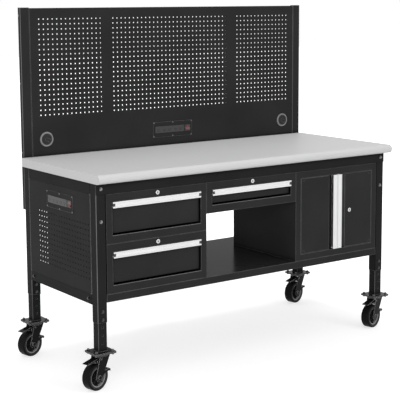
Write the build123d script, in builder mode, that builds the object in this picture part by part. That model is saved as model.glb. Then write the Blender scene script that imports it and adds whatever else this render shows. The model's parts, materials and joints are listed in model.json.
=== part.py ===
from build123d import *
from math import cos, radians, sin, tan
import os

# Mobile workbench: leg frame on swivel casters, round-nosed worktop, two stacked drawers, a centre
# drawer over an open bay, a cupboard with two doors, and a perforated back panel on two uprights.
# Millimetres. X runs along the bench, -Y is the front, Z=0 is the floor under the worktop's centre.

# Worktop
top_length = 1829
top_depth = 762
top_thick = 43
laminate = 1.2
end_band = 2.0

# Leg frame
frame_width = 1807
front_overhang = 54
leg_size = 51
leg_wall = 2.2
leg_corner = 4
extension_round = 0.5
leg_fit = 0.3
leg_length = 654
leg_exposed = 142
leg_insert = 110
leg_pitch = 38.1
leg_bolt_edge = 15
leg_hole_count = 5
rail_sheet = 2
apron_height = 53
rail_flange = 28
side_rail_height = 49
side_bolt_inset = 30
foot_thick = 5

# Base shelf and perforated side panels
shelf_sheet = 1.5
shelf_lip = 37
panel_sheet = 1.5
panel_flange = 14
panel_gap = 0.5
perforation = 7.0
hole_pitch = 25.4
side_hole_rows = 11
side_hole_columns = 20
side_hole_rear = 104
side_hole_top = 147

# Back panel on its uprights
upright_depth = 25
upright_wall = 2
upright_length = 1012
upright_drop = 220
back_panel_drop = 3
back_flange = 22
back_hole_rows = 20
back_centre_columns = 30
back_end_columns = 15
blank_columns = 2
back_hole_top = 55
stiffener_width = 50
stiffener_depth = 20
stiffener_end = 30
grommet_x = 772
grommet_height = 85
grommet_flange = 76
grommet_bore = 56
grommet_wall = 2.8
grommet_length = 18
grommet_lip = 5
grommet_round = 4
grommet_ledge = 3
cap_thick = 3.5
cap_pocket = 1.5
cap_pocket_width = 15
cap_pocket_angle = -25

# Power outlet units
plate_length = 256
plate_height = 84
plate_thick = 2
power_box_depth = 40
power_box_sheet = 1.2
power_box_inset = 11
strip_length = 188
strip_height = 36
strip_proud = 2
strip_depth = 14
strip_lip = 3
strip_shift = -20
socket_count = 5
socket_pitch = 36
socket_depth = 8
socket_slot = 2
socket_slot_height = 8
socket_spread = 12
socket_drop = 8
socket_round = 2.4
switch_shift = 97
switch_width = 28
switch_half = 12
switch_tilt = 8
switch_pin = 1.5
switch_crown = 3
switch_base = 4
switch_sink = 1
switch_clear = 1.0
bezel_wall = 2.6
bezel_lip = 1.5
bezel_depth = 12
back_unit_height = 86
side_unit_y = 12
side_unit_drop = 127
inlet_radius = 10
inlet_length = 12

# Drawer cases and cupboard
case_sheet = 1.5
case_round = 1.2
unit_height = 235
centre_height = 154
case_depth = 532
case_gap = 1
post_gap = 1.2
stile = 34
header = 37
sill = 40
cupboard_sill = 33.5
tie_flange = 12
return_depth = 26
cupboard_shelf_height = 196
cupboard_shelf_lip = 22
cupboard_shelf_setback = 27

# Drawers on three-part slides
front_sheet = 1.2
front_recess = 14
front_thick = 6
front_side_gap = 1.5
front_top_gap = 2
front_bottom_gap = 7
drawer_depth = 470
drawer_height = 118
centre_drawer_height = 50
drawer_rise = 7
slide_height = 36
slide_sheet = 1.5
slide_depth = 10
slide_gap = 0.5
slide_length = 460
slide_setback = 1
slide_rise = 20
slide_way = 0.4
spacer_radius = 7
spacer_inset = 60
front_slot_inset = 40
front_slot = 2.4

# Edge pulls
pull_width = 29
pull_stand = 20
pull_plate = 3
pull_web = 2.5
pull_foot = 26
pull_foot_thick = 2
label_width = 14
label_depth = 1.6
label_thick = 1.2
plug_length = 12
plug_proud = 0.3

# Cam locks
lock_flange = 10.5
lock_flange_thick = 2.5
lock_flange_round = 0.8
lock_body = 8
lock_length = 20
lock_nut = 11
lock_nut_thick = 4
lock_plug = 5.5
lock_hole_gap = 0.15
running_fit = 0.05
cam_length = 24
cam_width = 11
cam_thick = 2
cam_gap = 0.3
key_slot = 1.4
key_slot_height = 7
key_slot_depth = 4

# Doors
door_gap = 2
meeting_gap = 1.5
groove_width = 25
door_bore_inset = 12
door_bore_depth = 9
hinge_pin = 4
hinge_block = 24
hinge_block_height = 14
hinge_block_depth = 16
hinge_pin_end = 1
hinge_collar = 6.5
hinge_head = 7
hinge_head_thick = 3
door_lock_x = 88
door_cam_length = 46
strike_width = 26
strike_height = 50
strike_x = 45
door_lock_length = 31

# Fasteners
bolt_radius = 4
bolt_clearance = 0.3
bolt_flange = 8.5
bolt_flange_thick = 1.6
bolt_hex = 6.5
bolt_hex_thick = 5
bolt_length = 18
foot_nut = 7.5
foot_nut_thick = 6.5
case_bolt_drop = 179
screw_radius = 1.8
screw_head = 3.6
screw_head_thick = 2
screw_length = 8
screw_clearance = 0.2
screw_inset = 5.5
panel_screw = 2.5
panel_screw_head = 5
panel_screw_head_thick = 2.5
panel_screw_end = 4
upright_bolt_end = 6
upright_bolt_edge = 40
upright_bolt_pitch = 120
upright_screw_rise = 25
upright_screw_drop = 36

# Casters
caster_height = 174
caster_yaw = 14
plate_x = 114
plate_y = 102
caster_plate = 4
foot_bolt_x = 88
foot_bolt_y = 76
race_radius = 34
race_height = 8
swivel_gap = 0.3
fork_radius = 36
fork_top = 4
fork_side = 3.5
fork_inside = 52
fork_shoulder = 62
fork_eye = 20
kingpin = 6
kingpin_head = 10
kingpin_head_thick = 5
trail = 38
wheel_radius = 63.5
wheel_width = 48
tyre_depth = 15.5
tyre_round = 6
tyre_fit = 0.1
rim_depth = 6
rim_inset = 4
hub_gap = 0.3
web_thick = 14
hub_radius = 18
axle = 6
axle_head = 11
axle_head_thick = 6
pedal_pivot_x = -22
pedal_pivot_drop = 26
pedal_pin = 3
pedal_width = 36
pedal_boss = 6
pedal_tip = 2
pedal_reach = 76
pedal_fall = 12
shoe_arm = 24
shoe_length = 12
shoe_gap = 5.8
toe_height = 88
toe_reach = 34
toe_arm = 54
toe_arm_height = 8
toe_arm_drop = 18
toe_bar = 11
toe_bar_thick = 3
toe_lip = 12
toe_lip_thick = 3

# Levels and stations worked out from the sizes above
nose_radius = top_thick / 2
front_y = -top_depth / 2 + front_overhang
back_y = top_depth / 2
nose_y = -top_depth / 2 + nose_radius
half_frame = frame_width / 2
inner_x = half_frame - leg_size
leg_x = half_frame - leg_size / 2
leg_front_y = front_y + leg_size / 2
leg_rear_y = back_y - leg_size / 2
leg_points = [(x, y) for x in (-leg_x, leg_x) for y in (leg_front_y, leg_rear_y)]
side_front_y = front_y + leg_size
side_rear_y = back_y - leg_size
side_mid_y = (side_front_y + side_rear_y) / 2
side_length = side_rear_y - side_front_y
leg_bottom = caster_height + leg_exposed
top_under = leg_bottom + leg_length
top_z = top_under + top_thick
apron_z = top_under - apron_height
case_top = apron_z - case_gap
seam_z = case_top - unit_height
shelf_z = seam_z - unit_height
case_width = 2 * (inner_x - post_gap) / 3
case_back = front_y + case_depth
open_width = case_width - 2 * stile
upright_low = top_under - upright_drop
upright_high = upright_low + upright_length
panel_high = upright_high - back_panel_drop
back_unit_z = top_z + back_unit_height
side_unit_z = top_under - side_unit_drop
axle_z = wheel_radius
swivel_z = caster_height - caster_plate - race_height - swivel_gap
leg_bolt_z = [leg_bottom + leg_bolt_edge, leg_bottom + leg_bolt_edge + leg_pitch]
apron_bolt_z = top_under - apron_height / 2
case_bolt_z = top_under - case_bolt_drop
upright_screw_z = [top_z + upright_screw_rise, (top_z + panel_high) / 2, panel_high - upright_screw_drop]
upright_bolt_z = [upright_low + upright_bolt_edge, upright_low + upright_bolt_edge + upright_bolt_pitch]
bolt_hole = bolt_radius + bolt_clearance
screw_hole = screw_radius + screw_clearance
panel_screw_hole = panel_screw + screw_clearance

os.makedirs("parts", exist_ok=True)


def save(name, *pieces):
    """Label a finished node, made of one or more separate pieces, and write its STEP file."""
    node = pieces[0] if len(pieces) == 1 else Compound(children=list(pieces))
    node.label = name
    export_step(node, f"parts/{name}.step")


def block(x, y, z, mode=Mode.ADD):
    """A rectangular block between a low and a high value on each axis."""
    with Locations((x[0], y[0], z[0])):
        Box(x[1] - x[0], y[1] - y[0], z[1] - z[0], align=(Align.MIN, Align.MIN, Align.MIN), mode=mode)


def round_bar(point, axis, radius, length, mode=Mode.ADD):
    """A cylinder that starts at a point and runs along an axis."""
    with BuildSketch(Plane(point, z_dir=axis)) as section:
        Circle(radius)
    extrude(section.sketch, amount=length, mode=mode)


def bent_sheet(plane, points, thick, length):
    """A sheet of even thickness bent along a polyline in a plane and extruded square to it."""
    with BuildSketch(plane) as section:
        with BuildLine():
            Polyline(*points)
            offset(amount=thick, kind=Kind.INTERSECTION, side=Side.RIGHT)
        make_face()
    extrude(section.sketch, amount=length)


def prism(plane, points, length, mode=Mode.ADD):
    """A straight-sided outline in a plane, extruded square to it."""
    with BuildSketch(plane) as section:
        with BuildLine():
            Polyline(*points, close=True)
        make_face()
    extrude(section.sketch, amount=length, mode=mode)


def perforated(plane, width, height, holes, radius, windows):
    """A flat rectangle in a plane with round holes, and windows given as wires."""
    sheet = Wire.make_rect(width, height, plane)
    rounds = [Wire.make_circle(radius, plane.shift_origin(plane.from_local_coords(hole))) for hole in holes]
    return Face(sheet, rounds + windows)


def worktop_section(skin, step):
    """Worktop outline under a skin: square at the back, round in front, with a step where the skin ends."""
    nose_z = top_under + nose_radius
    high = top_z - skin
    with BuildSketch(Plane.YZ) as section:
        with BuildLine():
            Line((back_y, top_under), (back_y, high))
            Line((back_y, high), (nose_y, high))
            CenterArc((nose_y, nose_z), nose_radius - skin, 90, 180)
            if step:
                Line((nose_y, top_under + skin), (nose_y, top_under))
            Line((nose_y, top_under), (back_y, top_under))
        make_face()
    return section.sketch


# Worktop: a board core, the laminate wrapped over its top and nose, and a band on each end
core_section = worktop_section(laminate, True)
whole_section = worktop_section(0, False)
core_half = top_length / 2 - end_band

with BuildPart() as worktop_core:
    extrude(core_section, amount=core_half, both=True)
save("worktop_core", worktop_core.part)

with BuildPart() as worktop_laminate:
    extrude(whole_section, amount=core_half, both=True)
    extrude(core_section, amount=core_half, both=True, mode=Mode.SUBTRACT)
save("worktop_laminate", worktop_laminate.part)

with BuildPart() as worktop_edge_bands:
    extrude(Pos(core_half, 0, 0) * whole_section, amount=end_band)
    mirror(about=Plane.YZ)
save("worktop_edge_bands", worktop_edge_bands.part)


# Legs: square posts, with a smaller leg on a foot plate bolted up inside each one
def leg_bolt_holes(points, front, levels, depth):
    """Bolt holes through the front wall of square tubes standing at these points."""
    for x, y in points:
        for z in levels:
            round_bar((x, y + front - depth, z), (0, 1, 0), bolt_hole, 2 * depth, Mode.SUBTRACT)


extension_size = leg_size - 2 * leg_wall - 2 * leg_fit
front_leg_points = [(-leg_x, leg_front_y), (leg_x, leg_front_y)]
rear_leg_points = [(-leg_x, leg_rear_y), (leg_x, leg_rear_y)]

with BuildPart() as leg_posts:
    with BuildSketch(Plane.XY.offset(leg_bottom)):
        with Locations(*leg_points):
            RectangleRounded(leg_size, leg_size, leg_corner)
            RectangleRounded(leg_size - 2 * leg_wall, leg_size - 2 * leg_wall, leg_corner - leg_wall,
                             mode=Mode.SUBTRACT)
    extrude(amount=leg_length)
    leg_bolt_holes(leg_points, -leg_size / 2, leg_bolt_z, 2 * leg_wall)
    leg_bolt_holes(front_leg_points, -leg_size / 2, [apron_bolt_z, case_bolt_z], 2 * leg_wall)
    leg_bolt_holes(rear_leg_points, leg_size / 2, upright_bolt_z, 2 * leg_wall)
save("leg_posts", leg_posts.part)

extension_holes = [leg_bolt_z[1] - leg_pitch * k for k in range(leg_hole_count)]
extension_low = caster_height + foot_thick

with BuildPart() as leg_extensions:
    with BuildSketch(Plane.XY.offset(extension_low)):
        with Locations(*leg_points):
            RectangleRounded(extension_size, extension_size, leg_corner - leg_wall)
            RectangleRounded(extension_size - 2 * leg_wall, extension_size - 2 * leg_wall, extension_round,
                             mode=Mode.SUBTRACT)
    extrude(amount=leg_bottom + leg_insert - extension_low)
    with BuildSketch(Plane.XY.offset(caster_height)):
        with Locations(*leg_points):
            RectangleRounded(plate_x, plate_y, leg_corner)
            with GridLocations(foot_bolt_x, foot_bolt_y, 2, 2):
                Circle(bolt_hole, mode=Mode.SUBTRACT)
    extrude(amount=foot_thick)
    leg_bolt_holes(leg_points, -extension_size / 2, extension_holes, 2 * leg_wall)
save("leg_extensions", leg_extensions.part)

# Aprons under the worktop: the front one laps over the legs, the rear one fits between them
apron_web = (apron_z, top_under)
with BuildPart() as front_apron:
    block((-half_frame, half_frame), (front_y - rail_sheet, front_y), apron_web)
    for z in (apron_z, top_under - rail_sheet):
        block((-inner_x, inner_x), (front_y, front_y + rail_flange), (z, z + rail_sheet))
    for x in (-leg_x, leg_x):
        round_bar((x, front_y, apron_bolt_z), (0, -1, 0), bolt_hole, rail_sheet, Mode.SUBTRACT)
with BuildPart() as rear_apron:
    block((-inner_x, inner_x), (back_y - rail_sheet, back_y), apron_web)
    for z in (apron_z, top_under - rail_sheet):
        block((-inner_x, inner_x), (back_y - rail_flange, back_y), (z, z + rail_sheet))
save("worktop_aprons", front_apron.part, rear_apron.part)

# Side rails between the legs, above and below each side panel
side_y = (side_front_y, side_rear_y)
side_rail_low = shelf_z - side_rail_height
side_bolt_z = (side_rail_low + shelf_z) / 2
side_bolt_y = [side_front_y + side_bolt_inset, side_rear_y - side_bolt_inset]
with BuildPart() as side_rails:
    block((-half_frame, -half_frame + rail_sheet), side_y, apron_web)
    for z in (apron_z, top_under - rail_sheet):
        block((-half_frame, -half_frame + rail_flange), side_y, (z, z + rail_sheet))
    block((-half_frame, -half_frame + rail_sheet), side_y, (side_rail_low, shelf_z))
    for z in (side_rail_low, shelf_z - rail_sheet):
        block((-half_frame, -inner_x), side_y, (z, z + rail_sheet))
    for y in side_bolt_y:
        round_bar((-half_frame, y, side_bolt_z), (1, 0, 0), bolt_hole, rail_sheet, Mode.SUBTRACT)
    mirror(about=Plane.YZ)
save("side_rails", side_rails.part)

# Base shelf: a full-depth tray between the legs
with BuildPart() as base_shelf:
    block((-inner_x, inner_x), (front_y, back_y), (shelf_z - shelf_lip, shelf_z))
    block((-inner_x + shelf_sheet, inner_x - shelf_sheet), (front_y + shelf_sheet, back_y - shelf_sheet),
          (shelf_z - shelf_lip, shelf_z - shelf_sheet), Mode.SUBTRACT)
save("base_shelf", base_shelf.part)

# Perforated side panels: a flat sheet with a bent rim behind it, standing on the lower rails
side_panel_width = side_length - 2 * panel_gap
side_panel_height = apron_z - panel_gap - shelf_z
side_panel_mid_z = shelf_z + side_panel_height / 2
unit_screws = [(x, y) for x in (-plate_length / 2 + screw_inset, 0, plate_length / 2 - screw_inset)
               for y in (-plate_height / 2 + screw_inset, plate_height / 2 - screw_inset)]
unit_window = (plate_length - 2 * power_box_inset + 2 * panel_gap,
               plate_height - 2 * power_box_inset + 2 * panel_gap)


def side_panel(side, with_power):
    """One side panel on the left (-1) or right (1), with a window where a power unit goes."""
    outside = side * half_frame
    inward = -side
    face_plane = Plane((outside, side_mid_y, side_panel_mid_z), x_dir=(0, 1, 0), z_dir=(inward, 0, 0))
    up = face_plane.y_dir.Z
    first_y = side_rear_y - side_hole_rear - side_mid_y
    first_z = up * (apron_z - side_hole_top - side_panel_mid_z)
    holes = [(first_y - column * hole_pitch, first_z - up * row * hole_pitch)
             for column in range(side_hole_columns) for row in range(side_hole_rows)]
    windows = []
    if with_power:
        centre = face_plane.shift_origin((outside, side_unit_y, side_unit_z))
        windows.append(Wire.make_rect(*unit_window, centre))
        for x, y in unit_screws:
            screw = centre.shift_origin((outside, side_unit_y - x, side_unit_z + y))
            windows.append(Wire.make_circle(screw_hole, screw))
    sheet = perforated(face_plane, side_panel_width, side_panel_height, holes, perforation / 2, windows)
    with BuildPart() as panel:
        extrude(sheet, amount=panel_sheet, dir=face_plane.z_dir)
    with BuildPart() as rim:
        with BuildSketch(face_plane.offset(panel_sheet)):
            Rectangle(side_panel_width, side_panel_height)
            offset(amount=-panel_sheet, kind=Kind.INTERSECTION, mode=Mode.SUBTRACT)
        extrude(amount=panel_flange)
    return panel.part, rim.part


save("side_panel_left", *side_panel(-1, True))
save("side_panel_right", *side_panel(1, False))

# Uprights: closed-top tubes bolted behind the rear legs
upright_y = back_y + upright_depth / 2
with BuildPart() as back_uprights:
    with BuildSketch(Plane.XY.offset(upright_low)):
        with Locations((-leg_x, upright_y), (leg_x, upright_y)):
            RectangleRounded(leg_size, upright_depth, leg_corner)
    extrude(amount=upright_length)
    with BuildSketch(Plane.XY.offset(upright_low)):
        with Locations((-leg_x, upright_y), (leg_x, upright_y)):
            RectangleRounded(leg_size - 2 * upright_wall, upright_depth - 2 * upright_wall,
                             leg_corner - upright_wall)
    extrude(amount=upright_length - upright_wall, mode=Mode.SUBTRACT)
    for side in (-1, 1):
        for z in upright_screw_z:
            round_bar((side * half_frame, upright_y, z), (-side, 0, 0), panel_screw_hole, leg_size,
                      Mode.SUBTRACT)
        for z in upright_bolt_z:
            round_bar((side * leg_x, back_y + upright_depth, z), (0, -1, 0), bolt_hole,
                      upright_depth, Mode.SUBTRACT)
save("back_uprights", back_uprights.part)

# Perforated back panel between the uprights, with a rim behind it and two stiffeners over its blank bands
panel_low = top_under
panel_half = inner_x - panel_gap
panel_mid_z = (panel_low + panel_high) / 2
panel_height = panel_high - panel_low
panel_plane = Plane((0, back_y, panel_mid_z), x_dir=(1, 0, 0), z_dir=(0, 1, 0))
panel_up = panel_plane.y_dir.Z
columns = back_centre_columns + 2 * (back_end_columns + blank_columns)
first_x = -(columns - 1) / 2 * hole_pitch
blank_starts = (back_end_columns, back_end_columns + blank_columns + back_centre_columns)
blanks = [start + k for start in blank_starts for k in range(blank_columns)]
stiffener_x = -first_x - (back_end_columns + (blank_columns - 1) / 2) * hole_pitch
grommet_z = top_z + grommet_height
first_z = panel_high - back_hole_top - panel_mid_z
back_holes = [(first_x + column * hole_pitch, panel_up * (first_z - row * hole_pitch))
              for column in range(columns) if column not in blanks for row in range(back_hole_rows)]
grommet_hole = grommet_bore / 2 + grommet_wall + panel_gap
back_windows = [Wire.make_rect(*unit_window, panel_plane.shift_origin((0, back_y, back_unit_z)))]
for x, y in unit_screws:
    screw = panel_plane.shift_origin((x, back_y, back_unit_z + y))
    back_windows.append(Wire.make_circle(screw_hole, screw))
for x in (-grommet_x, grommet_x):
    back_windows.append(Wire.make_circle(grommet_hole, panel_plane.shift_origin((x, back_y, grommet_z))))

with BuildPart() as panel_sheet_part:
    extrude(perforated(panel_plane, 2 * panel_half, panel_height, back_holes, perforation / 2, back_windows),
            amount=panel_sheet, dir=panel_plane.z_dir)
with BuildPart() as panel_rim:
    with BuildSketch(panel_plane.offset(panel_sheet)):
        Rectangle(2 * panel_half, panel_height)
        offset(amount=-panel_sheet, kind=Kind.INTERSECTION, mode=Mode.SUBTRACT)
    extrude(amount=back_flange - panel_sheet)
    for side in (-1, 1):
        for z in upright_screw_z:
            round_bar((side * inner_x, upright_y, z), (-side, 0, 0), panel_screw_hole, panel_sheet * 2,
                      Mode.SUBTRACT)
save("pegboard_panel", panel_sheet_part.part, panel_rim.part)

stiffener_low = panel_low + stiffener_end
stiffener_length = panel_height - 2 * stiffener_end
with BuildPart() as panel_stiffeners:
    seat = back_y + panel_sheet
    crest = seat + stiffener_depth
    for x in (-stiffener_x, stiffener_x):
        left = x - stiffener_width / 2
        right = x + stiffener_width / 2
        bent_sheet(Plane.XY.offset(stiffener_low),
                   [(left, seat), (left, crest), (right, crest), (right, seat)], panel_sheet,
                   stiffener_length)
save("panel_stiffeners", panel_stiffeners.part)


# Cable grommets: a flanged liner in the panel with a plain cap seated on its ledge
on_plane = (Align.CENTER, Align.CENTER, Align.MIN)


def grommet(x):
    """One grommet liner and its cap, set into the back panel."""
    front = Plane((x, back_y - grommet_lip, grommet_z), x_dir=(1, 0, 0), z_dir=(0, 1, 0))
    outer = grommet_bore / 2 + grommet_wall
    seat = grommet_lip + grommet_ledge
    with BuildPart(front) as liner:
        Cylinder(grommet_flange / 2, grommet_lip, align=on_plane)
        Cylinder(outer, grommet_length, align=on_plane)
        Cylinder(grommet_bore / 2, seat, align=on_plane, mode=Mode.SUBTRACT)
        Cylinder(grommet_bore / 2 - grommet_ledge, grommet_length, align=on_plane, mode=Mode.SUBTRACT)
        fillet(liner.edges().filter_by(GeomType.CIRCLE).group_by(Axis.Y)[0], grommet_round)
    cap_front = front.offset(seat - cap_thick)
    reach = grommet_bore / 2
    with BuildPart(cap_front) as cap:
        Cylinder(grommet_bore / 2 - leg_fit, cap_thick, align=on_plane)
        with BuildSketch(cap_front) as pocket:
            with Locations(Rotation(0, 0, -cap_pocket_angle)):
                SlotCenterPoint((reach / 2, 0), (reach, 0), cap_pocket_width)
        extrude(pocket.sketch, amount=cap_pocket, mode=Mode.SUBTRACT)
    return liner.part, cap.part


save("cable_grommets", *grommet(-grommet_x), *grommet(grommet_x))


# Power units: a box behind the panel, a plate in front, a strip of plain sockets and a rocker switch
def unit_planes():
    """The outward planes of the back unit and of the unit on the left side panel."""
    back_unit = Plane((0, back_y, back_unit_z), x_dir=(1, 0, 0), z_dir=(0, -1, 0))
    side_unit = Plane((-half_frame, side_unit_y, side_unit_z), x_dir=(0, -1, 0), z_dir=(-1, 0, 0))
    return [back_unit, side_unit]


box_x = plate_length / 2 - power_box_inset
box_y = plate_height / 2 - power_box_inset
strip_x = (strip_shift - strip_length / 2, strip_shift + strip_length / 2)
strip_y = (-strip_height / 2, strip_height / 2)
strip_window_x = (strip_x[0] + strip_lip, strip_x[1] - strip_lip)
strip_window_y = (strip_y[0] + strip_lip, strip_y[1] - strip_lip)
bezel_open_x = switch_width / 2 + panel_gap
bezel_open_y = switch_half + switch_clear
bezel_x = bezel_open_x + bezel_wall
bezel_y = bezel_open_y + bezel_wall
switch_z = plate_thick - switch_sink


def power_box(plane):
    """An open box with its rim on the back of the plate and a cable inlet underneath."""
    hollow_x = box_x - power_box_sheet
    hollow_y = box_y - power_box_sheet
    inlet = (plane * Pos(-box_x / 2, -box_y, -power_box_depth / 2)).position
    with BuildPart(plane) as box:
        block((-box_x, box_x), (-box_y, box_y), (-power_box_depth, 0))
        round_bar(inlet, -plane.y_dir, inlet_radius, inlet_length)
        block((-hollow_x, hollow_x), (-hollow_y, hollow_y), (power_box_sheet - power_box_depth, 0),
              Mode.SUBTRACT)
        round_bar(inlet + plane.y_dir * power_box_sheet, -plane.y_dir, inlet_radius / 2,
                  inlet_length + power_box_sheet, Mode.SUBTRACT)
    return box.part


def faceplate(plane):
    """A plate with windows for the strip and the switch, and holes for its screws."""
    with BuildPart(plane) as plate:
        block((-plate_length / 2, plate_length / 2), (-plate_height / 2, plate_height / 2), (0, plate_thick))
        block((strip_window_x[0] - panel_gap, strip_window_x[1] + panel_gap),
              (strip_window_y[0] - panel_gap, strip_window_y[1] + panel_gap), (0, plate_thick), Mode.SUBTRACT)
        block((switch_shift - bezel_x - panel_gap, switch_shift + bezel_x + panel_gap),
              (-bezel_y - panel_gap, bezel_y + panel_gap), (0, plate_thick), Mode.SUBTRACT)
        for x, y in unit_screws:
            with Locations((x, y, plate_thick / 2)):
                Cylinder(screw_hole, plate_thick, mode=Mode.SUBTRACT)
    return plate.part


def outlet_strip(plane):
    """A strip lipped over the plate, with sockets of two slots and a round hole."""
    front = plate_thick + strip_proud
    with BuildPart(plane) as strip:
        block(strip_x, strip_y, (plate_thick, front))
        block(strip_window_x, strip_window_y, (plate_thick - strip_depth, plate_thick))
        for k in range(socket_count):
            x = strip_shift + (k - (socket_count - 1) / 2) * socket_pitch
            with Locations((x - socket_spread / 2, 0, front), (x + socket_spread / 2, 0, front)):
                Box(socket_slot, socket_slot_height, 2 * socket_depth, mode=Mode.SUBTRACT)
            with Locations((x, -socket_drop, front)):
                Cylinder(socket_round, 2 * socket_depth, mode=Mode.SUBTRACT)
    return strip.part


def switch_bezel(plane):
    """A closed frame lipped over the plate, with bores for the rocker's pins."""
    front = plate_thick + bezel_lip
    floor = plate_thick - bezel_depth
    x = (switch_shift - bezel_x, switch_shift + bezel_x)
    lip_y = bezel_y + bezel_lip
    with BuildPart(plane) as bezel:
        block((x[0] - bezel_lip, x[1] + bezel_lip), (-lip_y, lip_y), (plate_thick, front))
        block(x, (-bezel_y, bezel_y), (floor, plate_thick))
        block((switch_shift - bezel_open_x, switch_shift + bezel_open_x), (-bezel_open_y, bezel_open_y),
              (floor + bezel_wall, front), Mode.SUBTRACT)
        round_bar((plane * Pos(x[0], 0, switch_z)).position, plane.x_dir, switch_pin + running_fit,
                  2 * bezel_x, Mode.SUBTRACT)
    return bezel.part


def rocker(plane):
    """A rocker with a shallow V across its front, on two pins, resting with its upper half pressed in."""
    rise = switch_half * tan(radians(switch_tilt))
    pin_length = switch_width / 2 + panel_gap + bezel_wall - swivel_gap
    pivot = (plane * Pos(switch_shift, 0, switch_z)).position
    lean = radians(switch_tilt)
    section = Plane(pivot, x_dir=plane.y_dir * cos(lean) - plane.z_dir * sin(lean), z_dir=plane.x_dir)
    with BuildPart() as switch:
        prism(section.offset(-switch_width / 2),
              [(-switch_half, -switch_base), (switch_half, -switch_base), (switch_half, switch_crown + rise),
               (0, switch_crown), (-switch_half, switch_crown + rise)], switch_width)
        round_bar(pivot - plane.x_dir * pin_length, plane.x_dir, switch_pin, 2 * pin_length)
    return switch.part


planes = unit_planes()
save("power_boxes", *[power_box(plane) for plane in planes])
save("power_faceplates", *[faceplate(plane) for plane in planes])
save("outlet_strips", *[outlet_strip(plane) for plane in planes], *[switch_bezel(plane) for plane in planes])
save("switch_back", rocker(planes[0]))
save("switch_side", rocker(planes[1]))


# Drawer cases: welded boxes with a front frame round the opening and a lock hole in the header
def case_shell(centre, bottom, high, sill_height, tie_side, with_lock):
    """A case open at the front inside its stiles, header and sill, with a tie flange at one side or none."""
    half = case_width / 2
    inside = half - case_sheet
    with BuildPart() as shell:
        block((centre - half, centre + half), (front_y, case_back), (bottom, high))
        fillet(shell.edges().group_by(Axis.Y)[0], case_round)
        block((centre - inside, centre + inside), (front_y + case_sheet, case_back - case_sheet),
              (bottom + case_sheet, high - case_sheet), Mode.SUBTRACT)
        block((centre - open_width / 2, centre + open_width / 2), (front_y, front_y + case_sheet),
              (bottom + sill_height, high - header), Mode.SUBTRACT)
        if with_lock:
            round_bar((centre, front_y, high - header / 2), (0, 1, 0), lock_body + lock_hole_gap, case_sheet,
                      Mode.SUBTRACT)
        if tie_side:
            edge = centre + tie_side * half
            block(sorted((edge, edge + tie_side * tie_flange)), (case_back - case_sheet, case_back),
                  (bottom, high))
    return shell.part


left_x = -case_width
right_x = case_width
centre_low = case_top - centre_height
save("drawer_case_upper", case_shell(left_x, seam_z, case_top, sill, -1, True))
save("drawer_case_lower", case_shell(left_x, shelf_z, seam_z, sill, -1, True))
save("drawer_case_centre", case_shell(0, centre_low, case_top, sill, 0, True))

# Each drawer: its name, the middle of its case, the bottom and top of its case, and the height of its box
drawers = [("upper", left_x, seam_z, case_top, drawer_height),
           ("lower", left_x, shelf_z, seam_z, drawer_height),
           ("centre", 0, centre_low, case_top, centre_drawer_height)]

# Three-part slides: a rail on the case, a middle rail and a rail on the drawer, nested as channels
recess_y = front_y + front_recess
front_back_y = recess_y + front_thick
middle_web = slide_sheet + slide_gap
slide_base = open_width / 2 - slide_way + middle_web
drawer_web = slide_depth + 2 * slide_gap
drawer_half = slide_base - drawer_web - slide_sheet
rail_y = (front_back_y + slide_setback, front_back_y + slide_setback + slide_length)
middle_height = slide_height - 2 * (slide_sheet + slide_gap)
drawer_rail_height = middle_height - 2 * (slide_sheet + slide_gap)


def channel(centre, side, web, lips, height, level):
    """A rail with its web and its lips at these distances inward from the slide's base."""
    def across(span):
        return sorted(centre + side * (slide_base - reach) for reach in span)

    with BuildPart() as rail:
        block(across(web), rail_y, (level - height / 2, level + height / 2))
        for low in (level - height / 2, level + height / 2 - slide_sheet):
            block(across(lips), rail_y, (low, low + slide_sheet))
    return rail


def case_rail(centre, side, level):
    """The rail on the case, held off the case wall by two spacers."""
    rail = channel(centre, side, (0, slide_sheet), (0, slide_depth), slide_height, level)
    wall = case_width / 2 - case_sheet
    with rail:
        for y in (rail_y[0] + spacer_inset, rail_y[1] - spacer_inset):
            round_bar((centre + side * slide_base, y, level), (side, 0, 0), spacer_radius, wall - slide_base)
    return rail.part


def middle_rail(centre, side, level):
    """The rail that runs between the case's rail and the drawer's."""
    return channel(centre, side, (middle_web, middle_web + slide_sheet),
                   (middle_web, slide_depth + slide_gap), middle_height, level).part


def drawer_rail(centre, side, level):
    """The rail on the drawer's side."""
    web_end = drawer_web + slide_sheet
    return channel(centre, side, (drawer_web, web_end), (middle_web + slide_sheet + slide_gap, web_end),
                   drawer_rail_height, level).part


def drawer_body(centre, bottom, top, height):
    """A welded drawer: a hollow front set back in its opening, and an open box behind it."""
    half = open_width / 2 - front_side_gap
    low = bottom + sill + front_bottom_gap
    high = top - header - front_top_gap
    box_low = bottom + sill + drawer_rise
    with BuildPart() as body:
        block((centre - half, centre + half), (recess_y, front_back_y), (low, high))
        block((centre - half + front_sheet, centre + half - front_sheet),
              (recess_y + front_sheet, front_back_y - front_sheet), (low + front_sheet, high - front_sheet),
              Mode.SUBTRACT)
        slot_y = recess_y + (front_thick - front_slot) / 2
        block((centre - half + front_slot_inset, centre + half - front_slot_inset),
              (slot_y, slot_y + front_slot), (low, low + front_sheet), Mode.SUBTRACT)
        block((centre - drawer_half, centre + drawer_half), (front_back_y, front_back_y + drawer_depth),
              (box_low, box_low + height))
        block((centre - drawer_half + front_sheet, centre + drawer_half - front_sheet),
              (front_back_y, front_back_y + drawer_depth - front_sheet),
              (box_low + front_sheet, box_low + height), Mode.SUBTRACT)
    return body.part


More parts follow.
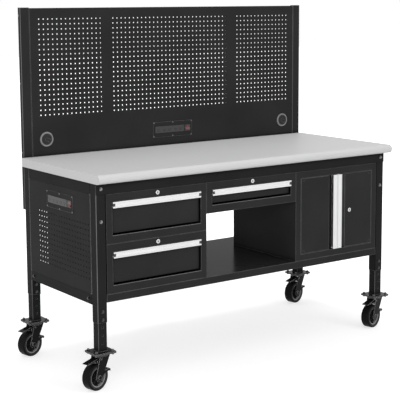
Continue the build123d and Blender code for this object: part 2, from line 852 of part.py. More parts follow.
def edge_pull(plane, length):
    """A channel pull along an edge, with a strip and two end plugs seated in the groove of its front."""
    groove = (pull_width - label_width) / 2
    across = (groove, pull_width - groove)
    front = pull_stand - label_depth
    with BuildPart() as extrusion:
        prism(plane, [(0, 0), (pull_foot, 0), (pull_foot, pull_foot_thick), (pull_web, pull_foot_thick),
                      (pull_web, pull_stand - pull_plate), (pull_width, pull_stand - pull_plate),
                      (pull_width, pull_stand), (across[1], pull_stand), (across[1], front),
                      (across[0], front), (across[0], pull_stand), (0, pull_stand)], length)
    with BuildPart(plane) as strip:
        block(across, (front, front + label_thick), (plug_length, length - plug_length))
    with BuildPart(plane) as plugs:
        for start in (0, length - plug_length):
            block(across, (front, pull_stand + plug_proud), (start, start + plug_length))
    return extrusion.part, strip.part, *plugs.part.solids()


def cam_lock(x, z, sheet, length, reach, turned):
    """A lock housing clamped through a sheet, and the plug that turns in it with a cam behind."""
    face = Plane((x, front_y, z), x_dir=(1, 0, 0), z_dir=(0, 1, 0))
    cam_end = reach - cam_width / 2
    tip = (0, -cam_end) if turned else (cam_end, 0)
    with BuildPart() as housing:
        round_bar(face.origin, -face.z_dir, lock_flange, lock_flange_thick)
        fillet(housing.edges().group_by(Axis.Y)[0], lock_flange_round)
        round_bar(face.origin, face.z_dir, lock_body, length)
        round_bar(face.offset(sheet).origin, face.z_dir, lock_nut, lock_nut_thick)
        round_bar(face.offset(-lock_flange_thick).origin, face.z_dir, lock_plug + running_fit,
                  lock_flange_thick + length, Mode.SUBTRACT)
    with BuildPart() as plug:
        round_bar(face.offset(-lock_flange_thick).origin, face.z_dir, lock_plug,
                  lock_flange_thick + length + cam_gap)
        with BuildSketch(face.offset(length + cam_gap)) as cam:
            SlotCenterPoint((tip[0] / 2, tip[1] / 2), tip, cam_width)
        extrude(cam.sketch, amount=cam_thick)
        with BuildSketch(face.offset(-lock_flange_thick)) as slot:
            Rectangle(key_slot, key_slot_height)
        extrude(slot.sketch, amount=key_slot_depth, mode=Mode.SUBTRACT)
    return housing.part, plug.part


case_rails = []
lock_housings = []
for name, centre, bottom, top, height in drawers:
    level = bottom + sill + drawer_rise + slide_rise
    case_rails += [case_rail(centre, side, level) for side in (-1, 1)]
    middle_rails = [middle_rail(centre, side, level) for side in (-1, 1)]
    drawer_rails = [drawer_rail(centre, side, level) for side in (-1, 1)]
    pull_half = open_width / 2 - front_side_gap
    pull_plane = Plane((centre + pull_half, recess_y, top - header - front_top_gap), x_dir=(0, 0, -1),
                       z_dir=(-1, 0, 0))
    housing, plug = cam_lock(centre, top - header / 2, case_sheet, lock_length, cam_length, False)
    lock_housings.append(housing)
    save("drawer_" + name, drawer_body(centre, bottom, top, height), *drawer_rails)
    save("drawer_" + name + "_slide", *middle_rails)
    save("drawer_" + name + "_pull", *edge_pull(pull_plane, 2 * pull_half))
    save("drawer_" + name + "_lock", plug)
save("case_slide_rails", *case_rails)
save("lock_cylinders", *lock_housings)

# Cupboard: a case with return flanges that carry the hinge pins, and one shelf with a strike for the lock
door_low = shelf_z + cupboard_sill + door_gap
door_high = case_top - header - door_gap
door_height = door_high - door_low
hinge_y = front_y + door_bore_depth
hinge_x = [right_x + side * (open_width / 2 - door_gap - door_bore_inset) for side in (-1, 1)]
flange_levels = (shelf_z + cupboard_sill - case_sheet, case_top - header)

with BuildPart() as door_cabinet:
    add(case_shell(right_x, shelf_z, case_top, cupboard_sill, 1, False))
    for z in flange_levels:
        block((right_x - open_width / 2, right_x + open_width / 2), (front_y, front_y + return_depth),
              (z, z + case_sheet))
        for x in hinge_x:
            round_bar((x, hinge_y, z), (0, 0, 1), hinge_pin + lock_hole_gap, case_sheet, Mode.SUBTRACT)
save("door_cabinet", door_cabinet.part)

shelf_half = case_width / 2 - case_sheet
cupboard_shelf_z = shelf_z + cupboard_shelf_height
cupboard_shelf_y = (front_y + cupboard_shelf_setback, case_back - case_sheet)
strike_left = right_x + strike_x
with BuildPart() as cabinet_shelf:
    block((right_x - shelf_half, right_x + shelf_half), cupboard_shelf_y,
          (cupboard_shelf_z - cupboard_shelf_lip, cupboard_shelf_z))
    block((right_x - shelf_half, right_x + shelf_half),
          (cupboard_shelf_y[0] + case_sheet, cupboard_shelf_y[1] - case_sheet),
          (cupboard_shelf_z - cupboard_shelf_lip, cupboard_shelf_z - case_sheet), Mode.SUBTRACT)
    block((strike_left, strike_left + strike_width), (cupboard_shelf_y[0], cupboard_shelf_y[0] + case_sheet),
          (cupboard_shelf_z, cupboard_shelf_z + strike_height))
save("cabinet_shelf", cabinet_shelf.part)


def hinge_pivot(x, flange_z, up):
    """A headed pin through a return flange into the door; the lower one has a collar under the door."""
    seat = flange_z if up > 0 else flange_z + case_sheet
    length = case_sheet + door_gap + hinge_block_height - hinge_pin_end
    with BuildPart() as pin:
        round_bar((x, hinge_y, seat), (0, 0, up), hinge_pin, length)
        round_bar((x, hinge_y, seat), (0, 0, -up), hinge_head, hinge_head_thick)
        if up > 0:
            round_bar((x, hinge_y, seat + case_sheet), (0, 0, 1), hinge_collar, door_gap - swivel_gap)
    return pin.part


save("cabinet_hinge_pins", *[hinge_pivot(x, z, up) for x in hinge_x for z, up in zip(flange_levels, (1, -1))])


# Doors: hollow trays open at the back, with a finger groove beside the meeting edge and hinge blocks
def door(side, with_lock):
    """The left (-1) or right (1) door."""
    hinge_edge = right_x + side * (open_width / 2 - door_gap)
    meeting = right_x + side * meeting_gap / 2
    groove = meeting + side * (pull_width + groove_width)
    thin = side * front_sheet
    with BuildPart() as panel:
        prism(Plane.XY.offset(door_low),
              [(hinge_edge, front_back_y), (hinge_edge, front_y), (groove, front_y), (groove, recess_y),
               (meeting, recess_y), (meeting, front_back_y)], door_height)
        prism(Plane.XY.offset(door_low + front_sheet),
              [(hinge_edge - thin, front_back_y), (hinge_edge - thin, front_y + front_sheet),
               (groove + thin, front_y + front_sheet), (groove + thin, recess_y + front_sheet),
               (meeting + thin, recess_y + front_sheet), (meeting + thin, front_back_y)],
              door_height - 2 * front_sheet, Mode.SUBTRACT)
        for z in (door_low, door_high - hinge_block_height):
            block(sorted((hinge_edge, hinge_edge - side * hinge_block)),
                  (front_y, front_y + hinge_block_depth), (z, z + hinge_block_height))
        round_bar((hinge_edge - side * door_bore_inset, hinge_y, door_low), (0, 0, 1),
                  hinge_pin + running_fit, door_height, Mode.SUBTRACT)
        if with_lock:
            round_bar((right_x + door_lock_x, front_y, door_lock_z), (0, 1, 0), lock_body + lock_hole_gap,
                      front_sheet, Mode.SUBTRACT)
    return panel.part


door_lock_z = (door_low + door_high) / 2
save("door_left", door(-1, False))
save("door_right", door(1, True))
left_pull = Plane((right_x - meeting_gap / 2, recess_y, door_low), x_dir=(-1, 0, 0), z_dir=(0, 0, 1))
right_pull = Plane((right_x + meeting_gap / 2, recess_y, door_high), x_dir=(1, 0, 0), z_dir=(0, 0, -1))
save("door_left_pull", *edge_pull(left_pull, door_height))
save("door_right_pull", *edge_pull(right_pull, door_height))
door_housing, door_plug = cam_lock(right_x + door_lock_x, door_lock_z, front_sheet, door_lock_length,
                                   door_cam_length, True)
save("door_lock_cylinder", door_housing)
save("door_lock_plug", door_plug)


# Fasteners
def hex_bolt(point, axis, length):
    """A flanged hexagon bolt seated at a point, with its shank along an axis."""
    seat = Plane(point, z_dir=axis)
    with BuildPart() as bolt:
        round_bar(point, axis, bolt_radius, length)
        round_bar(point, -seat.z_dir, bolt_flange, bolt_flange_thick)
        with BuildSketch(seat.offset(-bolt_flange_thick - bolt_hex_thick)) as head:
            RegularPolygon(bolt_hex, 6)
        extrude(head.sketch, amount=bolt_hex_thick)
    return bolt.part


def foot_nut_part(x, y):
    """A nut on the shank of a foot bolt, seated on the foot plate."""
    with BuildPart() as nut:
        with BuildSketch(Plane((x, y, caster_height + foot_thick))) as outline:
            RegularPolygon(foot_nut, 6)
            Circle(bolt_radius + running_fit, mode=Mode.SUBTRACT)
        extrude(outline.sketch, amount=foot_nut_thick)
    return nut.part


def round_screw(point, axis, radius, length, head_radius, head_thick):
    """A button-headed screw seated at a point, with its shank along an axis."""
    with BuildPart() as screw:
        round_bar(point, -Vector(axis), head_radius, head_thick)
        fillet(screw.faces().sort_by(Axis(point, axis))[0].edges(), head_thick / 2)
        round_bar(point, axis, radius, length)
    return screw.part


fasteners = []
for x, y in leg_points:
    fasteners += [hex_bolt((x, y - leg_size / 2, z), (0, 1, 0), bolt_length) for z in leg_bolt_z]
    for dx in (-foot_bolt_x / 2, foot_bolt_x / 2):
        for dy in (-foot_bolt_y / 2, foot_bolt_y / 2):
            fasteners.append(hex_bolt((x + dx, y + dy, caster_height - caster_plate), (0, 0, 1), bolt_length))
            fasteners.append(foot_nut_part(x + dx, y + dy))
for x in (-leg_x, leg_x):
    fasteners.append(hex_bolt((x, front_y - rail_sheet, apron_bolt_z), (0, 1, 0), bolt_length))
    fasteners.append(hex_bolt((x, front_y, case_bolt_z), (0, 1, 0), bolt_length))
    for z in upright_bolt_z:
        seat = (x, back_y + upright_depth, z)
        fasteners.append(hex_bolt(seat, (0, -1, 0), upright_depth + upright_bolt_end))
for side in (-1, 1):
    for y in side_bolt_y:
        fasteners.append(hex_bolt((side * half_frame, y, side_bolt_z), (-side, 0, 0), bolt_length))
    for z in upright_screw_z:
        fasteners.append(round_screw((side * half_frame, upright_y, z), (-side, 0, 0), panel_screw,
                                     leg_size + panel_screw_end, panel_screw_head, panel_screw_head_thick))
for plane in planes:
    for x, y in unit_screws:
        seat = (plane * Pos(x, y, plate_thick)).position
        fasteners.append(round_screw(seat, -plane.z_dir, screw_radius, screw_length, screw_head,
                                     screw_head_thick))
save("frame_bolts", *fasteners)


# Casters: a fixed plate with its race and kingpin, a fork with the axle, a wheel and a brake pedal
def caster_plate_part(x, y):
    """The fixed plate, race and headed kingpin of one caster."""
    with BuildPart(Plane((x, y, 0))) as plate:
        with BuildSketch(Plane((x, y, caster_height - caster_plate))) as outline:
            RectangleRounded(plate_x, plate_y, leg_corner)
            with GridLocations(foot_bolt_x, foot_bolt_y, 2, 2):
                Circle(bolt_hole, mode=Mode.SUBTRACT)
        extrude(outline.sketch, amount=caster_plate)
        race_low = caster_height - caster_plate - race_height
        head_high = swivel_z - fork_top - swivel_gap
        round_bar((x, y, race_low), (0, 0, 1), race_radius, race_height)
        round_bar((x, y, head_high), (0, 0, 1), kingpin, race_low - head_high)
        round_bar((x, y, head_high), (0, 0, -1), kingpin_head, kingpin_head_thick)
    return plate.part


def caster_frame(x, y):
    """A caster's own plane on the floor under its kingpin, with -x trailing."""
    return Plane((x, y, 0), x_dir=(cos(radians(caster_yaw)), sin(radians(caster_yaw)), 0), z_dir=(0, 0, 1))


def upright_plane(frame, across):
    """A caster's side view: x along its trail, y up, looking along +y from this distance across."""
    return Plane((frame * Pos(0, across, 0)).position, x_dir=frame.x_dir, z_dir=-frame.y_dir)


axle_point = (-trail, axle_z)
pedal_point = (pedal_pivot_x, caster_height - pedal_pivot_drop)
fork_half = fork_inside / 2 + fork_side


def fork(frame):
    """The fork with its toe bar in front of the wheel, and the axle bolt through its eyes."""
    top_low = swivel_z - fork_top
    with BuildPart(frame) as body:
        with BuildSketch(frame.offset(top_low)) as crown:
            Circle(fork_radius)
            Rectangle(fork_shoulder, 2 * fork_half)
            Circle(kingpin + running_fit, mode=Mode.SUBTRACT)
        extrude(crown.sketch, amount=fork_top)
        for across in (fork_half, -fork_inside / 2):
            with BuildSketch(upright_plane(frame, across)) as cheek:
                with Locations(axle_point):
                    Circle(fork_eye)
                with Locations((0, swivel_z - fork_top)):
                    Rectangle(fork_shoulder, fork_top)
                make_hull()
                with Locations(axle_point):
                    Circle(axle + running_fit, mode=Mode.SUBTRACT)
                with Locations(pedal_point):
                    Circle(pedal_pin + running_fit, mode=Mode.SUBTRACT)
            extrude(cheek.sketch, amount=fork_side)
        toe_top = toe_height + toe_arm_height / 2
        for across in (fork_half, -fork_inside / 2):
            prism(upright_plane(frame, across),
                  [(toe_reach - toe_arm, toe_top - toe_arm_height - toe_arm_drop),
                   (toe_reach - toe_bar, toe_top - toe_arm_height), (toe_reach, toe_top - toe_arm_height),
                   (toe_reach, toe_top), (toe_reach - toe_arm, toe_top)], fork_side)
        block((toe_reach - toe_bar, toe_reach), (-fork_half, fork_half), (toe_top - toe_bar_thick, toe_top))
        block((toe_reach - toe_lip_thick, toe_reach), (-fork_half, fork_half), (toe_top - toe_lip, toe_top))
    with BuildPart() as bolt:
        with BuildSketch(upright_plane(frame, fork_half)) as shank:
            with Locations(axle_point):
                Circle(axle)
        extrude(shank.sketch, amount=2 * fork_half)
        for across in (fork_half + axle_head_thick, -fork_half):
            with BuildSketch(upright_plane(frame, across)) as head:
                with Locations(axle_point):
                    RegularPolygon(axle_head, 6)
            extrude(head.sketch, amount=axle_head_thick)
    return body.part, bolt.part


def wheel(frame):
    """A round-shouldered tyre on a core with a rim, a web and a hub bored for the axle."""
    rim_radius = wheel_radius - tyre_depth

    def disc(radius, width, bore=None):
        with BuildSketch(upright_plane(frame, width / 2)) as section:
            with Locations(axle_point):
                Circle(radius)
                if bore:
                    Circle(bore, mode=Mode.SUBTRACT)
        extrude(section.sketch, amount=width)

    with BuildPart() as tyre:
        disc(wheel_radius, wheel_width)
        fillet(tyre.edges().filter_by(GeomType.CIRCLE), tyre_round)
        with BuildSketch(upright_plane(frame, wheel_width / 2)) as bore:
            with Locations(axle_point):
                Circle(rim_radius)
        extrude(bore.sketch, amount=wheel_width, mode=Mode.SUBTRACT)
    with BuildPart() as core:
        disc(rim_radius - tyre_fit, wheel_width - 2 * rim_inset, rim_radius - tyre_fit - rim_depth)
        disc(rim_radius - tyre_fit - rim_depth / 2, web_thick, axle + running_fit)
        disc(hub_radius, fork_inside - 2 * hub_gap, axle + running_fit)
    return tyre.part, core.part


def pedal(frame):
    """A tongue that trails over the wheel, with a pin in the fork's cheeks and a brake shoe under it."""
    shoe_x = pedal_pivot_x - shoe_arm
    shoe_low = axle_z + wheel_radius + shoe_gap
    with BuildPart() as tongue:
        with BuildSketch(upright_plane(frame, pedal_width / 2)) as blade:
            with Locations(pedal_point):
                Circle(pedal_boss)
            with Locations((pedal_point[0] - pedal_reach, pedal_point[1] - pedal_fall)):
                Circle(pedal_tip)
            make_hull()
            with Locations((shoe_x, (shoe_low + pedal_point[1] - pedal_boss) / 2)):
                Rectangle(shoe_length, pedal_point[1] - pedal_boss - shoe_low)
        extrude(blade.sketch, amount=pedal_width)
        with BuildSketch(upright_plane(frame, fork_half)) as pin:
            with Locations(pedal_point):
                Circle(pedal_pin)
        extrude(pin.sketch, amount=2 * fork_half)
    return tongue.part


corners = [("rear" if y > 0 else "front") + ("_right" if x > 0 else "_left") for x, y in leg_points]
save("caster_plates", *[caster_plate_part(x, y) for x, y in leg_points])
for corner, (x, y) in zip(corners, leg_points):
    frame = caster_frame(x, y)
    save("caster_" + corner + "_fork", *fork(frame))
    save("caster_" + corner + "_wheel", *wheel(frame))
    save("caster_" + corner + "_pedal", pedal(frame))
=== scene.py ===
import bmesh
import bpy
import json
from math import cos, pi, radians, sin, tau
from mathutils import Matrix, Vector


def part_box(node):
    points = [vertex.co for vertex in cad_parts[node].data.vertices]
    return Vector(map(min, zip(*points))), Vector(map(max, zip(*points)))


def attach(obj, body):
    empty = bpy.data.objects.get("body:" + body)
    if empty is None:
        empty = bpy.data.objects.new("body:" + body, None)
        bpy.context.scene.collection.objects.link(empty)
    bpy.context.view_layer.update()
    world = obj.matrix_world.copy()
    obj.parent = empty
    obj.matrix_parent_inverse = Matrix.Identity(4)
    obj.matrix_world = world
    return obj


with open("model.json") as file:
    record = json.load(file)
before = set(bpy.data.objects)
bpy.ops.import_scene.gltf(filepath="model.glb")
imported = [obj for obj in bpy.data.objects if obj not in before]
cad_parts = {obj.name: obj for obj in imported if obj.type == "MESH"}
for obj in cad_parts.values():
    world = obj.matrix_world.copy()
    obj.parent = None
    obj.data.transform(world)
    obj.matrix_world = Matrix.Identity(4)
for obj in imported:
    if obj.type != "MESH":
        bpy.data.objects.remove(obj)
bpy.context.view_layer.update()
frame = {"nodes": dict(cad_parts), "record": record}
nodes = frame["nodes"]

UP = Vector((0.0, 0.0, 1.0))
QUARTERS = ((1, 1), (-1, 1), (-1, -1), (1, -1))

# Camera at the photograph's angle: place in metres, turns in degrees, focal length and sensor in millimetres
CAMERA_PLACE = Vector((-3.5028, -4.7983, 1.7847))
CAMERA_HEADING = 35.439
CAMERA_TILT = 7.831
CAMERA_ROLL = -0.359
CAMERA_LENS = 103.516
CAMERA_SENSOR = 36.0
CAMERA_SHIFT = -0.10

# Stage, in metres and watts: the floor and how its glow rises away from the object, the surround's light,
# and each lamp's name, place, target, size and power
FLOOR_SIZE = 60.0
FLOOR_GLOW = 0.60
FLOOR_GLOW_FAR = 1.0
FLOOR_NEAR = 1.3
FLOOR_FAR = 3.2
WORLD_LIGHT = 0.70
LAMPS = (
    ("key", (-4.0, -4.6, 2.3), (0.0, 0.0, 0.7), 3.2, 155.0),
    ("fill", (2.5, -5.5, 2.6), (0.0, 0.0, 0.7), 3.0, 80.0),
    ("top", (0.5, 0.35, 6.0), (0.0, 0.0, 0.8), 0.5, 110.0),
)

# Colours in linear light
COAT = (0.0200, 0.0200, 0.0203)
SHADED_COAT = (0.0135, 0.0135, 0.0137)
# painted highlight: the pale colour of bent and rounded edges
EDGE_HIGHLIGHT = (0.180, 0.180, 0.182)
PANEL_EDGE_HIGHLIGHT = (0.300, 0.300, 0.302)
# painted highlight: the pale colour of rounded corners and rolled lips
CORNER_HIGHLIGHT = (0.110, 0.110, 0.112)
LIT_GROOVE = (0.055, 0.055, 0.056)
# painted shade: near black, where shade falls in gaps and corners
GAP_SHADE = (0.0015, 0.0015, 0.0015)
LAMINATE_LOW = (0.47, 0.47, 0.472)
LAMINATE_HIGH = (0.53, 0.53, 0.532)
BAND_LOW = (0.50, 0.50, 0.50)
BAND_HIGH = (0.58, 0.58, 0.58)
BOARD_LOW = (0.30, 0.19, 0.10)
BOARD_HIGH = (0.50, 0.36, 0.22)
ALUMINIUM = (0.55, 0.55, 0.554)
ZINC = (0.62, 0.62, 0.61)
BOLT = (0.17, 0.17, 0.173)
DARK_BOLT = (0.060, 0.060, 0.061)
CHROME = (0.48, 0.48, 0.48)
PLUG_STEEL = (0.25, 0.25, 0.25)
PLASTIC = (0.012, 0.012, 0.012)
GROMMET = (0.020, 0.020, 0.020)
GROMMET_RING_HIGHLIGHT = (0.155, 0.155, 0.155)
OUTLET = (0.013, 0.013, 0.013)
RED = (0.065, 0.010, 0.011)
CASTER = (0.006, 0.006, 0.006)
CASTER_GLINT = (0.48, 0.48, 0.48)
RUBBER = (0.006, 0.006, 0.006)
RUBBER_GLINT = (0.12, 0.12, 0.12)
TYRE_RING_HIGHLIGHT = (0.045, 0.045, 0.045)
CORE = (0.010, 0.010, 0.010)
RIM_HIGHLIGHT = (0.21, 0.21, 0.21)
CARD = (0.62, 0.62, 0.62)
WHITE = (1.0, 1.0, 1.0)
FLOOR_LIGHTING = (0.80, 0.80, 0.80)
FLOOR_SHADOW = (0.60, 0.60, 0.60)

# Noise: the values that most of it lies between
NOISE_LOW = 0.3
NOISE_HIGH = 0.7

# Edges: the cosines of the turn of a rounded edge's normal, where its mask is full and where it ends
EDGE_FULL = 0.80
EDGE_NONE = 0.995

# Powder coat: sheen and its spread, rounding of edges in metres, lighter clouds, painted edge highlights and orange
# peel
COAT_ROUGHNESS = 0.38
COAT_SPECULAR = 0.015
COAT_SHEEN = (-0.05, 0.06)
COAT_SHEEN_SCALE = 60.0
COAT_ROUNDING = 0.0040
COAT_EDGE_SAMPLES = 6
COAT_CLOUD_SCALE = 4.5
COAT_CLOUD_LIFT = 1.22
HIGHLIGHT_BREAK_SCALE = 21.0
HIGHLIGHT_BREAK_LEAST = 0.55
PEEL_SCALE = 620.0
PEEL_DEPTH = 0.00012
PEEL_STRENGTH = 0.35

# Painted shade in gaps and corners: how far it reaches in metres, the shares of open sky where it is full and where
# it ends, and the least share of unshaded coat
GAP_REACH = 0.035
GAP_SAMPLES = 8
GAP_CLOSED = 0.30
GAP_OPEN = 0.85
UNSHADED_LEAST = 0.05

# Share of a perforated panel's width and height that its border takes
BORDER = 0.018

# Sheet, metal and moulded finishes: rounding of edges in metres, spread of sheen, scales of noise, and relief
SHEET_ROUNDING = 0.0008
SHEET_SHEEN = (-0.03, 0.05)
SHEET_CLOUD = (0.35, 0.65)
SHEET_CLOUD_SCALE = 3.0
SHEET_RELIEF_SCALE = 900.0
SHEET_RELIEF_DEPTH = 0.00006
METAL_ROUNDING = 0.0006
METAL_SHEEN = (-0.05, 0.07)
METAL_GRAIN = 260.0
METAL_DARK_SHARE = 0.92
METAL_RELIEF_DEPTH = 0.00004
METAL_RELIEF = 0.25
MOULDED_SHEEN = (-0.05, 0.08)
MOULDED_CLOUD_SCALE = 14.0
MOULDED_RELIEF_DEPTH = 0.00008

# Stretch of brush lines along each axis
BRUSHED_X = (0.03, 1.0, 1.0)
BRUSHED_Y = (1.0, 0.03, 1.0)
BRUSHED_Z = (1.0, 1.0, 0.03)

# Sizes of the solids that finishes and detail follow, in metres
CASE_END = 0.84
GROMMET_RIM = 0.0085
RIM_RADIUS = 0.0479
RIM_START = 0.0415
STRIP_HALF = 0.0069
STRIP_FLOOR = 0.0189
PLUG_LENGTH = 0.0122
BEZEL_HALF = 0.0195
FINGER_GROOVE_END = 0.070
FINGER_GROOVE_START = 0.001
FINGER_GROOVE_DEPTH = 0.0145
FOOT_BOLT_TOP = 0.20
LEG_BOLT_TOP = 0.50
FOOT_TOP = 0.1795
FOOT_THICK = 0.005
LEG_TUBE = 0.046
LEG_TUBE_CORNER = 0.0018
TYRE_HALF = 0.024
WHEEL_WEB_HALF = 0.007
FRONT_SIDE_GAP = 0.0015
FRONT_BOTTOM_GAP = 0.007
DRAWER_HALF = 0.23887
DRAWER_SHEET = 0.0012
DRAWER_DEPTH = 0.470
DRAWER_HEIGHT = 0.118
CENTRE_DRAWER_HEIGHT = 0.050

# Parts of a unit normal: the least that makes a rounded corner, and the least that faces an axis
CORNER_TURN = 0.25
FACING = 0.9

# Sizes of the added detail, in metres, and the angle in degrees from which its edges are sharp
SHARP_ANGLE = 35.0
BEAD_SIDES = 10
BAR_CORNER_STEPS = 3
WELD_RADIUS = 0.0032
WELD_STEP = 0.0009
WELD_CORNER_STEPS = 3
WELD_RIPPLE = 0.10
WELD_RIPPLE_STEPS = 5
RING_RADIUS = 0.053
RING_WIDTH = 0.003
RING_HEIGHT = 0.0008
RING_CORNER = 0.00072
RING_STEPS = 72
RIB_COUNT = 8
RIB_START = 0.0175
RIB_END = 0.0423
RIB_WIDTH = 0.0042
RIB_HEIGHT = 0.0115
RIB_SADDLE = 0.003
RIB_CORNER = 0.0012
RIB_STEPS = 6
BRAKE_WEB_HALF = 0.023
BRAKE_WEB_SECTION = ((0.002, -0.003), (0.022, -0.005), (0.020, -0.0155), (0.002, -0.0205))
LIP_WIDTH = 0.0032
LIP_HEIGHT = 0.0022
LIP_PROUD = 0.0008
LIP_CORNER = 0.0010
HEM_WIDTH = 0.0032
HEM_HEIGHT = 0.0065
HEM_PROUD = 0.0008
HEM_CORNER = 0.0015


# Nodes that the materials are made of
def shaded(name):
    """A new material with its node tree and its shader."""
    material = bpy.data.materials.new(name)
    material.use_nodes = True
    tree = material.node_tree
    return material, tree, tree.nodes["Principled BSDF"]


def feed(tree, socket, value):
    """Set a socket to a value, or link it to another socket."""
    if isinstance(value, bpy.types.NodeSocket):
        tree.links.new(value, socket)
    else:
        socket.default_value = value


def add(tree, kind, inputs=None, **settings):
    """A node of a kind, with its settings and inputs."""
    node = tree.nodes.new(kind)
    for key, value in settings.items():
        setattr(node, key, value)
    for key, value in (inputs or {}).items():
        feed(tree, node.inputs[key], value)
    return node


def maths(tree, operation, *values):
    """The result of a sum on one or two values."""
    return add(tree, "ShaderNodeMath", dict(enumerate(values)), operation=operation).outputs["Value"]


def opaque(colour, lift=1.0):
    """A colour with full alpha, lifted by a factor."""
    return (*[lift * c for c in colour], 1.0)


def noise(tree, scale, detail=2.0, stretch=None):
    """A noise value in the object's own metres, stretched along the axes if asked."""
    place = add(tree, "ShaderNodeTexCoord").outputs["Object"]
    if stretch:
        place = add(tree, "ShaderNodeMapping", {"Vector": place, "Scale": stretch}).outputs["Vector"]
    return add(tree, "ShaderNodeTexNoise", {"Vector": place, "Scale": scale, "Detail": detail}).outputs["Fac"]


def spread(tree, value, low, high, start=NOISE_LOW, end=NOISE_HIGH):
    """A value from start to end, carried over to low to high."""
    return add(tree, "ShaderNodeMapRange", {"Value": value, "From Min": start, "From Max": end,
                                            "To Min": low, "To Max": high}).outputs["Result"]


def blend(tree, factor, first, second):
    """Two colours mixed by a factor."""
    mix = add(tree, "ShaderNodeMix", data_type="RGBA")
    for key, value in (("Factor", factor), ("A", first), ("B", second)):
        feed(tree, next(s for s in mix.inputs if s.name == key and s.type in ("RGBA", "VALUE") and s.enabled), value)
    return next(s for s in mix.outputs if s.type == "RGBA")


def soft_normal(tree, radius, samples=4):
    """A normal that rounds sharp edges."""
    return add(tree, "ShaderNodeBevel", {"Radius": radius}, samples=samples).outputs["Normal"]


def edge_mask(tree, soft):
    """1 on the edges that a soft normal rounds, and 0 on flat faces."""
    flat = add(tree, "ShaderNodeNewGeometry").outputs["True Normal"]
    turn = add(tree, "ShaderNodeVectorMath", {0: soft, 1: flat}, operation="DOT_PRODUCT").outputs["Value"]
    return spread(tree, turn, 1.0, 0.0, EDGE_FULL, EDGE_NONE)


def sheen(tree, shader, value, roughness, change, *span):
    """A shader's roughness, changed a little by a value."""
    uneven = spread(tree, value, roughness + change[0], roughness + change[1], *span)
    tree.links.new(uneven, shader.inputs["Roughness"])


def relief(tree, shader, height, depth, strength, normal):
    """Small relief on a shader."""
    bump = add(tree, "ShaderNodeBump", {"Height": height, "Distance": depth, "Strength": strength,
                                        "Normal": normal})
    tree.links.new(bump.outputs["Normal"], shader.inputs["Normal"])


def open_share(tree):
    """1 where a surface lies open, falling to a small value deep in gaps and corners."""
    near = add(tree, "ShaderNodeAmbientOcclusion", {"Distance": GAP_REACH}, samples=GAP_SAMPLES).outputs["AO"]
    return spread(tree, near, UNSHADED_LEAST, 1.0, GAP_CLOSED, GAP_OPEN)


def border(tree, axes):
    """1 along the border of an object's own box on the axes named, and 0 inside it."""
    middle = 0.5
    sides = add(tree, "ShaderNodeSeparateXYZ", {0: add(tree, "ShaderNodeTexCoord").outputs["Generated"]}).outputs
    reach = [maths(tree, "ABSOLUTE", maths(tree, "SUBTRACT", sides[axis], middle)) for axis in axes]
    most = reach[0]
    for other in reach[1:]:
        most = maths(tree, "MAXIMUM", most, other)
    return maths(tree, "GREATER_THAN", most, middle - BORDER)


# Materials
def powder_coat(name, roughness=COAT_ROUGHNESS, specular=COAT_SPECULAR, axes=None, unevenness=1.0, colour=COAT,
                edge=EDGE_HIGHLIGHT, gap_shaded=True):
    """Satin powder coat: fine orange peel, slightly uneven sheen, painted gap shade if asked, painted edge
    highlights.
    """
    material, tree, shader = shaded(name)
    soft = soft_normal(tree, COAT_ROUNDING, COAT_EDGE_SAMPLES)
    cloud = spread(tree, noise(tree, COAT_CLOUD_SCALE, 3.0), 0.0, 1.0)
    base = blend(tree, cloud, opaque(colour), opaque(colour, COAT_CLOUD_LIFT))
    # painted shade if asked: the coat darkens to near black deep in gaps and corners
    if gap_shaded:
        base = blend(tree, open_share(tree), opaque(GAP_SHADE), base)
    # painted highlight: bent edges paler, broken up by a noise, and on a panel only along its border
    highlight_break = spread(tree, noise(tree, HIGHLIGHT_BREAK_SCALE, 4.0), HIGHLIGHT_BREAK_LEAST, 1.0)
    edge_highlight = maths(tree, "MULTIPLY", edge_mask(tree, soft), highlight_break)
    if axes:
        edge_highlight = maths(tree, "MULTIPLY", edge_highlight, border(tree, axes))
    tree.links.new(blend(tree, edge_highlight, base, opaque(edge)), shader.inputs["Base Color"])
    sheen(tree, shader, noise(tree, COAT_SHEEN_SCALE, 3.0), roughness, [unevenness * c for c in COAT_SHEEN])
    shader.inputs["Specular IOR Level"].default_value = specular
    relief(tree, shader, noise(tree, PEEL_SCALE), PEEL_DEPTH, PEEL_STRENGTH * unevenness, soft)
    return material


def sheet(name, low, high, grain=420.0, roughness=0.48, roughened=0.25, specular=0.15):
    """A sheet material of two close tones, with a speckle and a low sheen."""
    material, tree, shader = shaded(name)
    speckle = spread(tree, noise(tree, grain, 4.0), 0.0, 1.0)
    cloud = spread(tree, noise(tree, SHEET_CLOUD_SCALE), *SHEET_CLOUD)
    tone = blend(tree, maths(tree, "MULTIPLY", speckle, cloud), opaque(low), opaque(high))
    tree.links.new(tone, shader.inputs["Base Color"])
    sheen(tree, shader, speckle, roughness, SHEET_SHEEN, 0.0, 1.0)
    shader.inputs["Specular IOR Level"].default_value = specular
    relief(tree, shader, noise(tree, SHEET_RELIEF_SCALE), SHEET_RELIEF_DEPTH, roughened,
           soft_normal(tree, SHEET_ROUNDING))
    return material


def metal(name, colour, roughness, stretch=None):
    """Bare metal with brush lines along one way, or with a fine grain all ways."""
    material, tree, shader = shaded(name)
    lines = noise(tree, METAL_GRAIN, 3.0, stretch)
    tone = blend(tree, spread(tree, lines, 0.0, 1.0), opaque(colour, METAL_DARK_SHARE), opaque(colour))
    tree.links.new(tone, shader.inputs["Base Color"])
    sheen(tree, shader, lines, roughness, METAL_SHEEN)
    shader.inputs["Metallic"].default_value = 1.0
    relief(tree, shader, lines, METAL_RELIEF_DEPTH, METAL_RELIEF, soft_normal(tree, METAL_ROUNDING))
    return material


